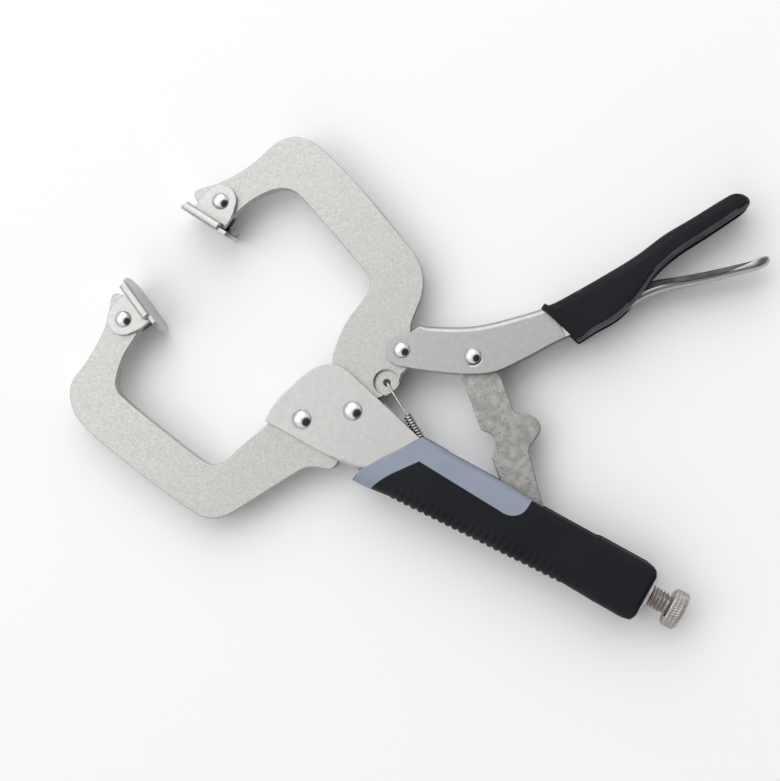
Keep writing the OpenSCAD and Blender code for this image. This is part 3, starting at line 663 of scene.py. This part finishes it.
def buildSpring():
    # wire path: a hook through the ear, a straight run, a close helix, and the far hook; the helix
    # is (x, R cos a, R sin a) with x growing by one pitch each turn
    hole, hook = np.array(spring["hole"]), np.array(spring["hook"])
    along = (hook - hole) / np.linalg.norm(hook - hole)
    total = np.linalg.norm(hook - hole)
    radius, lift, pitch = spring["coilRadius"], spring["lift"], spring["pitch"]
    coilTo = spring["coilFrom"] + spring["turns"] * pitch
    lead = np.array([
        (3.4, 0.3, -lift - 0.1), (2.0, 0.1, -lift), (0.6, 0, -lift + 0.2), (0.0, 0, -0.9), (0, 0, 0.6),
        (0.5, 0, lift - 0.35), (1.9, 0, lift), (4.2, 0, lift), (8, 0, lift - 0.1), (12, 0, lift - 0.25),
        (spring["coilFrom"] - 1.2, 0, radius + 0.05)])
    angle = np.linspace(0, 2 * np.pi * spring["turns"], spring["turns"] * 22)
    helix = np.stack([spring["coilFrom"] + angle / (2 * np.pi) * pitch,
                      radius * np.sin(angle), radius * np.cos(angle)], 1)
    tail = np.array([(coilTo + 1.5, 0.0, radius - 0.5), (coilTo + 3.5, 0, 0.1),
                     (total - 2, 0, 0), (total + 0.2, 0.15, 0), (total + 2.0, 0.9, 0),
                     (total + 3.0, 1.8, 0)])
    path = np.concatenate([splinePath(lead, 6), helix, splinePath(tail, 6)])
    flat = hole + path[:, :1] * along + path[:, 1:2] * np.array([-along[1], along[0]])
    points, faces = tube(np.concatenate([flat, path[:, 2:]], 1), spring["wire"], 12)
    piece = addObject("returnSpring", makeMesh("returnSpring", points, faces))
    piece.data.polygons.foreach_set("use_smooth", [True] * len(piece.data.polygons))
    piece.data.materials.append(finishes["spring_steel"])
    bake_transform(piece)
    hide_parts("return_spring")


def splinePath(points, steps):
    # Catmull-Rom curve through the points
    padded = np.concatenate([[2 * points[0] - points[1]], points, [2 * points[-1] - points[-2]]])
    t = (np.arange(steps) / steps)[None, :, None]
    a, b, c, d = (padded[k:len(points) - 1 + k, None] for k in range(4))
    curve = 0.5 * (2 * b + (c - a) * t + (2 * a - 5 * b + 4 * c - d) * t**2
                   + (3 * b - a - 3 * c + d) * t**3)
    return np.concatenate([curve.reshape(-1, points.shape[1]), points[-1:]])


pads = dict(radius=14.5, sheet=1.9, drop=11.8, hem=11.7, hemLength=17.5, hemEdge=0.35, gap=0.25,
            ear=7.2, earFrom=3.12, foot=(8.2, 0.3), shoulder=(8.4, -4.5), neck=(7.9, -1.5),
            hole=2.16, edge=0.4, holeEdge=0.2)


def buildPad(name, node, mount, pivotJoint, stagger):
    # disc, two folded hems set off to opposite sides, and two ears, drawn with the rivet at the
    # middle and the clamping face toward -Y, then turned to face along the mount
    p = pads
    face = next(m for m in frame["record"]["mounts"] if m["name"] == mount)["axis"]
    turn = math.atan2(face[1], face[0]) + math.pi / 2
    back, bend = p["sheet"] - p["drop"], p["sheet"] + p["gap"] / 2
    middle, foldAt = back + p["gap"] / 2, p["hem"] - bend
    cut = math.degrees(math.asin(foldAt / p["radius"]))
    disc = np.concatenate([arcPoints((0, 0), p["radius"], -cut, cut, 40),
                           arcPoints((0, 0), p["radius"], 180 - cut, 180 + cut, 40)])
    points, faces = plate([disc], -p["drop"], back, p["edge"], p["edge"])
    parts = [(points[:, [0, 2, 1]], faces)]
    hem = np.concatenate([
        arcPoints((foldAt, middle), bend, -90, 90, 22),
        [(p["earFrom"], middle + bend), (p["earFrom"], middle + p["gap"] / 2)],
        arcPoints((foldAt, middle), p["gap"] / 2, 90, -90, 8)])
    half = p["hemLength"] / 2
    points, faces = plate([hem], -half, half, p["hemEdge"], p["hemEdge"])
    near = points[:, [2, 1, 0]] + (stagger, 0, 0)
    parts += [(near, faces), (near * (-1, 1, -1), faces)]
    side = np.array([(p["foot"][0], back + p["gap"] + p["foot"][1]), p["shoulder"], p["neck"]])
    ear = np.concatenate([side, arcPoints((0, 0), p["ear"], 8, 172, 36), side[::-1] * (-1, 1)])
    hole = arcPoints((0, 0), p["hole"], 360, 0, 33)[:-1]
    points, faces = plate([ear, hole], p["earFrom"], p["earFrom"] + p["sheet"], p["edge"],
                          p["holeEdge"])
    parts += [(points, faces), (points * (1, 1, -1), faces)]
    points, faces = joinParts(*parts)
    spin = np.array([[math.cos(turn), math.sin(turn), 0], [-math.sin(turn), math.cos(turn), 0],
                     [0, 0, 1]])
    points = points @ spin + drawn(jointAt[pivotJoint])
    buildPiece(name, node, (points, faces))


grip = dict(half=11.0, topRound=3.6, lowRound=6.5, slot=5.9, slotFrom=2.0, inner=8.1, frontInner=5.62,
            front=13.9, frontTo=36.0, rearFrom=136.0, end=145.0, step=0.36, frontRound=0.9,
            endRound=1.3, ribFrom=31.0, ribTo=112.0, ribPitch=3.25, ribDepth=0.9, frontRows=46,
            rearRows=14, roundRows=6)
gripLow = np.array([(13.9, -26.6), (31, -24.46), (112, -21.06), (127, -21.6), (141, -21.7),
                    (145, -21.7)])
gripBore = np.array([(9, -21.9), (15, -20.8), (31, -19.2)])
gripFront = np.array([(-26.6, 13.9), (-20.6, 15.3), (-9.8, 22.3), (1, 30.4), (5, 32), (7, 35)])
gripTop = np.array([(13.9, 7.0), (35, 7.0), (37.4, 6.4), (39.8, 5.2), (44, 4.1), (70, 4.1), (84, 3.2),
                    (115.5, 3.1), (117.2, 3.7), (145, 3.6)])
gripRear = np.array([(-21.7, 141), (-20.7, 144), (-17.5, 145), (-12, 144.3), (-4.5, 144.3), (0, 145),
                     (2.6, 143.8), (3.6, 140.5)])
inlayLine = np.array([(10, -30), (21.6, -30), (22.6, -26.4), (24.8, -21), (29.4, -13.6), (36, -5),
                      (77, -7), (81.4, -6), (84.3, -3), (85.1, 2), (84.6, 10), (10, 10)], float)


def gripUnder(x):
    # the lower edge: straight, with ribs that are |sin| waves between two x values
    base = np.interp(x, *gripLow.T)
    wave = np.abs(np.sin(np.pi * (x - grip["ribFrom"]) / grip["ribPitch"]))
    inside = np.clip((x - grip["ribFrom"]) / 1.5, 0, 1) * np.clip((grip["ribTo"] - x) / 1.5, 0, 1)
    return base + grip["ribDepth"] * (0.55 - wave) * inside


def buildGripBody():
    # closed C-shaped sections carried along the handle. A station is a share of the way from the
    # slanted front to x = frontTo, then a plain x, then a share of the way to the curved rear end;
    # the outermost rows at both ends draw the section in along a quarter circle
    g = grip
    rows = g["roundRows"]
    shares = np.concatenate([np.zeros(rows), np.linspace(0, 1, g["frontRows"])[1:]])
    plain = np.arange(g["frontTo"], g["rearFrom"], g["step"])[1:]
    rearShare = np.concatenate([np.linspace(0, 1, g["rearRows"]), np.ones(rows)])
    station = np.concatenate([g["front"] + shares * (g["frontTo"] - g["front"]), plain,
                              g["rearFrom"] + rearShare * (g["end"] - g["rearFrom"])])
    count = len(station)
    quarter = np.linspace(0, np.pi / 2, rows + 1)
    inset, push = np.zeros(count), np.zeros(count)
    inset[:rows] = g["frontRound"] * (1 - np.sin(quarter[:-1]))
    push[:rows] = g["frontRound"] * (1 - np.cos(quarter[:-1]))
    inset[-rows:] = g["endRound"] * (1 - np.cos(quarter[1:]))
    push[-len(rearShare):] = -g["endRound"] * rearShare
    push[-rows:] += g["endRound"] * np.sin(quarter[1:])
    under = gripUnder(station) + inset
    top = np.interp(station, *gripTop.T) - inset
    half = g["half"] - inset
    outer = [(np.full(count, g["slot"]), top)]
    for turn in np.linspace(np.pi / 2, 0, 9):
        outer.append((half - g["topRound"] * (1 - np.cos(turn)),
                      top - g["topRound"] * (1 - np.sin(turn))))
    for share in np.linspace(0, 1, 14)[1:-1]:
        outer.append((half, (top - g["topRound"]) * (1 - share) + (under + g["lowRound"]) * share))
    for turn in np.linspace(0, -np.pi / 2, 11):
        outer.append((half - g["lowRound"] * (1 - np.cos(turn)),
                      under + g["lowRound"] * (1 + np.sin(turn))))
    innerHalf = np.interp(station, [24, 36], [g["frontInner"], g["inner"]])
    innerLow = np.interp(station, *gripBore.T)
    innerTop = np.minimum(g["slotFrom"], top - 0.7)
    slot = np.minimum(g["slot"], innerHalf)
    inner = [(-slot, innerTop), (-innerHalf, innerTop), (-innerHalf, innerLow),
             (innerHalf, innerLow), (innerHalf, innerTop), (slot, innerTop)]
    section = outer + [(-z, y) for z, y in outer[::-1]] + inner
    z, y = (np.stack([point[k] for point in section], 1) for k in range(2))
    frontX, rearX = np.interp(y, *gripFront.T), np.interp(y, *gripRear.T)
    x = np.repeat(station[:, None], y.shape[1], 1)
    share = shares[:, None]
    x[:len(shares)] = frontX[:len(shares)] * (1 - share) + g["frontTo"] * share
    share = rearShare[:, None]
    x[-len(rearShare):] = g["rearFrom"] * (1 - share) + rearX[-len(rearShare):] * share
    points = np.stack([x + push[:, None], y, z], 2)
    columns = points.shape[1]
    faces = gridFaces(count, columns)
    faces += [list(range(columns)), list(range((count - 1) * columns, count * columns))[::-1]]
    return points.reshape(-1, 3), faces


def cutBy(mesh, cutter, operation):
    # the mesh after a boolean with another, as a new mesh
    base, tool = addObject("base", mesh), addObject("tool", cutter)
    change = base.modifiers.new("cut", "BOOLEAN")
    change.operation, change.object, change.solver = operation, tool, "EXACT"
    bpy.context.view_layer.update()
    seen = base.evaluated_get(bpy.context.evaluated_depsgraph_get())
    result = bpy.data.meshes.new_from_object(seen)
    for item in (base, tool):
        bpy.data.objects.remove(item)
    return result


def buildGrip():
    body = makeMesh("gripBody", *buildGripBody(), clipTo=["fixed_grip", "fixed_grip_inlay"])
    line = smoothLine(inlayLine, 5, corner=50, straight=9)
    block = makeMesh("inlayBlock", *plate([line], -14, 14, 0, 0, rings=1))
    dark, pale = cutBy(body, block, "DIFFERENCE"), cutBy(body, block, "INTERSECT")
    dark.name, pale.name = "fixedGrip", "fixedGripInlay"
    settle("fixedGrip", dark, "fixed_grip", sharp=40)
    settle("fixedGripInlay", pale, "fixed_grip_inlay", sharp=40)


sleeve = dict(frontHalf=7.1, half=9.4, upperRound=4.0, lowerRound=2.6, slot=5.6, frontInner=5.34,
              inner=7.82, wall=1.15, lip=0.5, lipShare=0.012, tipFrom=0.9, tipDraw=0.75,
              slotEnd=0.985, rows=150)
sleeveUpper = np.array([(49.9, 76.3), (50.3, 78.7), (52.6, 79.3), (57.9, 86.6), (66.3, 99.9),
                        (74.3, 113.6), (80.6, 127), (87.4, 138.4), (94.7, 151), (97.5, 155.2),
                        (100.4, 156.9), (102.6, 157.1)], float)
sleeveLower = np.array([(70.8, 70.7), (72.3, 73.4), (74.8, 78), (79.6, 85.6), (82.2, 92), (84, 100),
                        (85.2, 109.5), (87.7, 118), (91.3, 126), (97.1, 136.4), (102.6, 146.8),
                        (105.2, 152), (105.6, 155), (104.4, 156.8)], float)


def evenPath(points, count, dense=12):
    # points spaced evenly along a smooth curve
    fine = splinePath(points, dense)
    run = np.concatenate([[0], np.cumsum(np.linalg.norm(np.diff(fine, axis=0), axis=1))])
    where = np.linspace(0, run[-1], count)
    return np.stack([np.interp(where, run, fine[:, k]) for k in range(fine.shape[1])], 1)


def crossSections(upper, lower, section):
    # sections given as (share from lower to upper, offset along that chord, height) per station
    chord = upper - lower
    length = np.linalg.norm(chord, axis=1)
    unit = chord / length[:, None]
    along = np.stack([share * length + offset for share, offset, _ in section], 1)
    height = np.stack([np.broadcast_to(h, length.shape) for _, _, h in section], 1)
    flat = lower[:, None] + along[..., None] * unit[:, None]
    return np.concatenate([flat, height[..., None]], 2)


def faceVectors(mesh):
    # the middle of each face, in millimetres round the jaw pivot, and its normal
    found = []
    for field in ("center", "normal"):
        values = np.empty(len(mesh.polygons) * 3, np.float32)
        mesh.polygons.foreach_get(field, values)
        found.append(values.reshape(-1, 3))
    return drawn(found[0]), found[1]


def paintFaces(mesh, chosen, finish):
    # the chosen faces take a second finish
    mesh.materials.append(finishes[finish])
    mesh.polygons.foreach_set("material_index", chosen.astype(np.int32))


def buildSleeve():
    # rounded C-shaped sections between the upper and lower edges, thin at the front lip and
    # drawn in to a flat round tip
    s = sleeve
    upper, lower = evenPath(sleeveUpper, s["rows"]), evenPath(sleeveLower, s["rows"])
    run = np.linspace(0, 1, s["rows"])
    reach = (0.5 * (upper + lower) - drawn(jointAt["handle_pivot"])[:2]) @ leverAlong
    half = np.interp(reach, [66, 80], [s["frontHalf"], s["half"]])
    half = half + s["lip"] * np.exp(-(run / s["lipShare"]) ** 2)
    tip = np.clip((run - s["tipFrom"]) / (1 - s["tipFrom"]), 0, 1)
    half = half * np.sqrt(1 - s["tipDraw"] * tip**2)
    chord = np.linalg.norm(upper - lower, axis=1)
    upRound = np.minimum(s["upperRound"], 0.45 * chord)
    inner = np.minimum(np.interp(reach, [66, 78], [s["frontInner"], s["inner"]]), half - 0.6)
    slot = np.minimum(s["slot"], inner) * np.clip((s["slotEnd"] - run) / 0.02, 0.02, 1)
    lowRound = np.minimum(np.minimum(s["lowerRound"], 0.45 * chord), half - slot - 0.15)
    wall = np.minimum(s["wall"], 0.3 * chord)
    outer = [(0, 0 * chord, slot)]
    for turn in np.linspace(-np.pi / 2, 0, 8):
        outer.append((0, lowRound * (1 + np.sin(turn)), half - lowRound * (1 - np.cos(turn))))
    for share in np.linspace(0, 1, 7)[1:-1]:
        outer.append((share, lowRound * (1 - share) - upRound * share, half))
    for turn in np.linspace(0, np.pi / 2, 10):
        outer.append((1, -upRound * (1 - np.sin(turn)), half - upRound * (1 - np.cos(turn))))
    outer.append((1, 0 * chord, 0 * half))
    mirrored = [(a, b, -c) for a, b, c in outer[:-1][::-1]]
    inside = [(0, wall, -slot), (0, wall, -inner), (1, -wall, -inner), (1, -wall, inner),
              (0, wall, inner), (0, wall, slot)]
    shell = closeEnds(crossSections(upper, lower, outer + mirrored + inside))
    mesh = buildPiece("leverSleeve", "lever_grip", shell, sharp=50)
    # the rounded lower rims are painted paler as a painted reflection of the pale surroundings: faces that look
    # down and out
    centres, normals = faceVectors(mesh)
    down = normals[:, :2] @ (leverAlong[1], -leverAlong[0])
    reflectingRim = (down > 0.3) & (np.abs(normals[:, 2]) > 0.12) & (np.abs(centres[:, 2]) > s["slot"])
    paintFaces(mesh, reflectingRim & (normals[:, 2] * centres[:, 2] > 0), "painted_rim_reflection")


release = dict(half=5.1, sheet=1.3, bend=2.1, nearShare=0.44, tipFrom=0.9, splitAt=3.0, rows=110)
releaseLower = np.array([(75.6, 83.0), (78.6, 86.9), (80.6, 89.6), (83.6, 96), (87.3, 101.8),
                         (93, 107.8), (104, 117), (114.2, 126.2), (121.9, 133.2), (124.3, 136.4)])
releaseUpper = np.array([(68.0, 91.0), (69.6, 95.0), (72, 96.8), (77, 101), (85.2, 109), (96.1, 117.2),
                         (106.8, 126), (117.3, 135.2), (122.0, 139.4), (124.3, 138.6)])


def buildRelease():
    # a trough pressed from one sheet: the near flange is lower than the far one, and both run
    # out in a rounded finger tip
    r = release
    upper, lower = evenPath(releaseUpper, r["rows"]), evenPath(releaseLower, r["rows"])
    run = np.linspace(0, 1, r["rows"])
    tip = np.clip((run - r["tipFrom"]) / (1 - r["tipFrom"]), 0, 1)
    half = r["half"] * np.sqrt(np.clip(1 - 0.93 * tip**2, 0.02, 1))
    chord = np.linalg.norm(upper - lower, axis=1)
    bend = np.minimum(r["bend"], 0.4 * chord)
    sheet = np.minimum(r["sheet"], 0.35 * chord)
    bendIn = np.maximum(bend - sheet, 0.2)
    nearTop = r["nearShare"] + (0.95 - r["nearShare"]) * np.clip((run - 0.72) / 0.2, 0, 1) ** 2
    rim = 0.5 * sheet

    def wallUp(side, share):
        # outer wall from the bend up to the rim, then the inner wall back down
        rimTurn = np.linspace(0, np.pi, 7)
        up = [(0, bend + (share * chord - bend - rim) * k, side * half) for k in (0.33, 0.66)]
        over = [(0, share * chord - rim + rim * np.sin(a), side * (half - rim + rim * np.cos(a)))
                for a in rimTurn]
        down = [(0, sheet + bendIn + (share * chord - sheet - bendIn - rim) * k,
                 side * (half - sheet)) for k in (0.66, 0.33)]
        return up + over + down

    bendTurn = np.linspace(-np.pi / 2, 0, 8)
    outerBend = [(0, bend * (1 + np.sin(a)), half - bend * (1 - np.cos(a))) for a in bendTurn]
    innerBend = [(0, sheet + bendIn * (1 + np.sin(a)), half - sheet - bendIn * (1 - np.cos(a)))
                 for a in bendTurn[::-1]]
    section = outerBend + wallUp(1, nearTop) + innerBend
    section += [(a, b, -c) for a, b, c in innerBend[::-1]] + wallUp(-1, 1)[::-1]
    section += [(a, b, -c) for a, b, c in outerBend[::-1]]
    trough = closeEnds(crossSections(upper, lower, section))
    noseAt = drawn(jointAt["release_pivot"])[:2] + leverAlong * r["splitAt"]
    nose = trimmedCopy("release_lever", noseAt, -leverAlong)
    mesh = buildPiece("releaseLever", "release_lever", joinParts(trough, nose), sharp=45)
    # the hollow side is painted dark as painted shade, standing for the shade that falls inside the trough: faces
    # that look toward the trough's own middle line
    centres, normals = faceVectors(mesh)
    middle = 0.5 * (upper + lower)
    nearest = np.argmin(((centres[:, None, :2] - middle[None]) ** 2).sum(2), 1)
    across = np.concatenate([centres[:, :2] - middle[nearest], centres[:, 2:]], 1)
    shadedHollow = (np.sum(across * normals, 1) < 0) & (nearest > 3) & (nearest < 0.93 * r["rows"])
    paintFaces(mesh, shadedHollow, "painted_shade_inside")


buildJaws()
buildSheets()
buildLink()
buildRivets()
buildScrew()
buildKnob()
buildSpring()
print("metal pieces made")
buildPad("upperSwivelPad", "upper_swivel_pad", "upper_pad_face", "upper_pad_swivel", -2.0)
buildPad("lowerSwivelPad", "lower_swivel_pad", "lower_pad_face", "lower_pad_swivel", 2.0)
print("pads made")
buildGrip()
buildSleeve()
buildRelease()
print("grips made")


studio = dict(floorSize=6.0, floorTone=0.94, sky=1.055, darkCard=(0.76, -0.05, 0.67), cardTone=0.04,
              cardFrom=0.68, cardTo=0.86, horizon=0.5)
lights = {"key": dict(power=8.0, size=1.7, place=(-0.7, 0.8, 1.1)),
          "fill": dict(power=4.0, size=1.4, place=(-0.9, -0.5, 1.2))}


def addLight(name, power, size, place):
    # a round soft light turned toward the middle of the tool
    light = bpy.data.lights.new(name, "AREA")
    light.energy, light.size, light.shape = power, size, "DISK"
    lamp = addObject(name, light)
    lamp.location = place
    lamp.rotation_euler = (-Vector(place)).to_track_quat("-Z", "Y").to_euler()


def buildStudio():
    half = studio["floorSize"] / 2
    floorMesh = bpy.data.meshes.new("paleFloor")
    floorMesh.from_pydata([(-half, -half, 0), (half, -half, 0), (half, half, 0), (-half, half, 0)],
                          [], [(0, 1, 2, 3)])
    floor = addObject("paleFloor", floorMesh)
    paint = bpy.data.materials.new("paleFloor")
    paint.use_nodes = True
    shader = paint.node_tree.nodes["Principled BSDF"]
    shader.inputs["Base Color"].default_value = (*[studio["floorTone"]] * 3, 1)
    shader.inputs["Roughness"].default_value = 0.8
    floorMesh.materials.append(paint)
    for name, lamp in lights.items():
        addLight(name, **lamp)
    world = bpy.data.worlds.new("studioSky")
    bpy.context.scene.world = world
    world.use_nodes = True
    sky = world.node_tree.nodes["Background"]
    sky.inputs["Strength"].default_value = studio["sky"]
    # a white room, dimmer near the horizon, with one soft dark card up on the right
    tree = world.node_tree
    where = addNode(tree, "TexCoord")
    split = addNode(tree, "SeparateXYZ", {0: where.outputs["Generated"]})
    rise = addNode(tree, "MapRange", {
        "Value": split.outputs["Z"], "From Max": 0.6, "To Min": studio["horizon"]})
    toward = addNode(tree, "VectorMath", {0: where.outputs["Generated"], 1: studio["darkCard"]},
                     operation="DOT_PRODUCT")
    card = addNode(tree, "MapRange", {
        "Value": toward.outputs["Value"], "From Min": studio["cardFrom"],
        "From Max": studio["cardTo"], "To Min": 1.0, "To Max": studio["cardTone"]},
        interpolation_type="SMOOTHSTEP")
    level = addNode(tree, "Math", {0: rise.outputs[0], 1: card.outputs[0]}, operation="MULTIPLY")
    tree.links.new(level.outputs[0], sky.inputs["Color"])
    bpy.context.scene.view_settings.view_transform = "Standard"


view = dict(lens=70.0, sensor=36.0, place=(0.07287, -0.01522, 0.6567), turn=(2.642, 7.131, 28.628))


def buildCamera():
    lens = bpy.data.cameras.new("view")
    lens.lens, lens.sensor_width, lens.sensor_fit = view["lens"], view["sensor"], "HORIZONTAL"
    camera = addObject("view", lens)
    camera.location = view["place"]
    camera.rotation_euler = [math.radians(a) for a in view["turn"]]
    bpy.context.scene.camera = camera


buildStudio()
buildCamera()
print("studio made")
